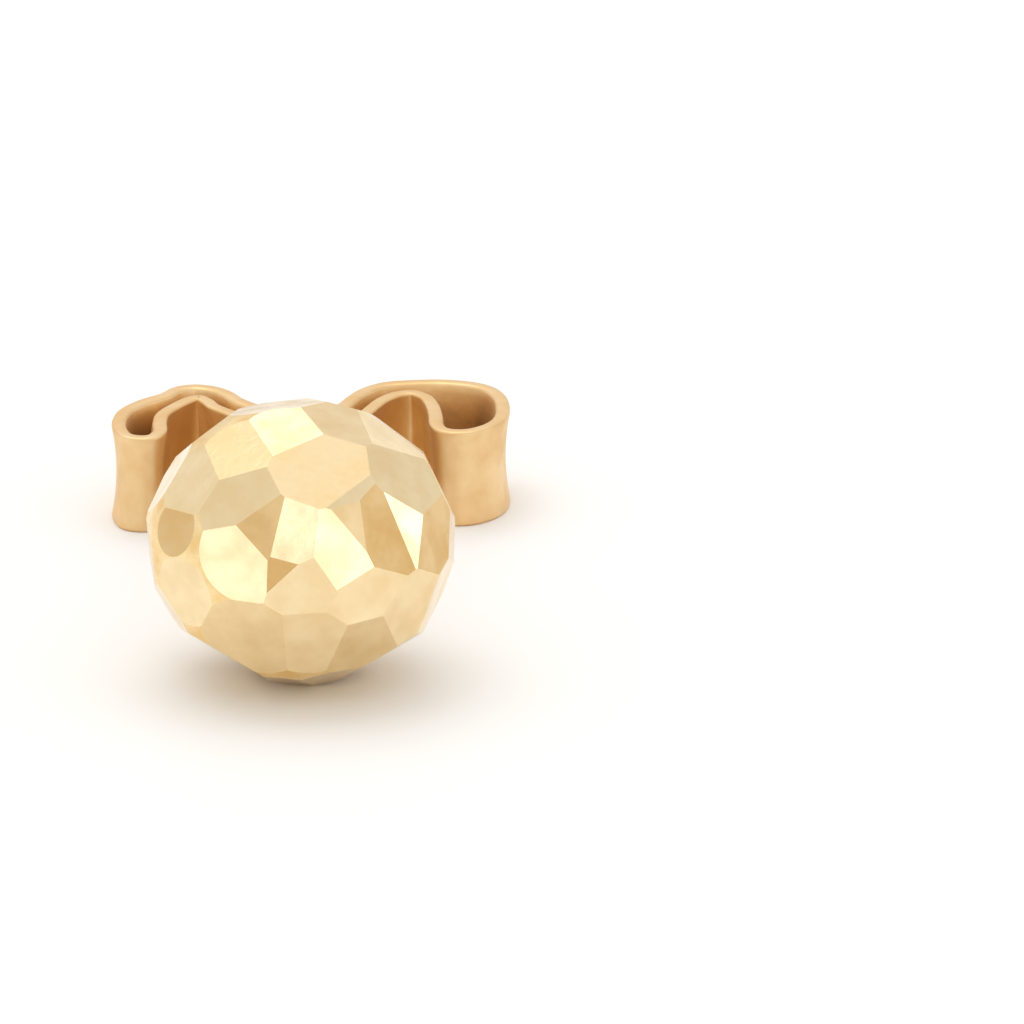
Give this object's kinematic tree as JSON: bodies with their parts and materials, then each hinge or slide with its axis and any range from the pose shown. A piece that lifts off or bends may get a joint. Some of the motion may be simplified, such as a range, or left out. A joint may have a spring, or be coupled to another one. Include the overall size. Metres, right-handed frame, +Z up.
{
  "type": "ball stud earring",
  "caption": "Diamond-cut gold ball on a straight post, held by a rolled butterfly friction back, resting unworn.",
  "frame": {"origin": "on the surface it rests on, under the middle of its box", "axes": "+Z up, +Y from the ball back along the post, +X to the right of the show side"},
  "size_m": [0.0054, 0.011, 0.0038],
  "materials": {
    "cut_gold": "pale yellow gold, bright flat cuts with fine tool lines, satin between them",
    "strip_gold": "pale yellow gold sheet, soft polish, brighter on its edges"
  },
  "bodies": {
    "stud": {"ball_stud": "cut_gold"},
    "back": {"butterfly_back": "strip_gold"}
  },
  "joints": [
    {"name": "back_slide", "type": "slide", "parent": "stud", "child": "back", "axis": [0, 0.9867, -0.1626], "range_m": [-0.0036, 0.0026]}
  ]
}
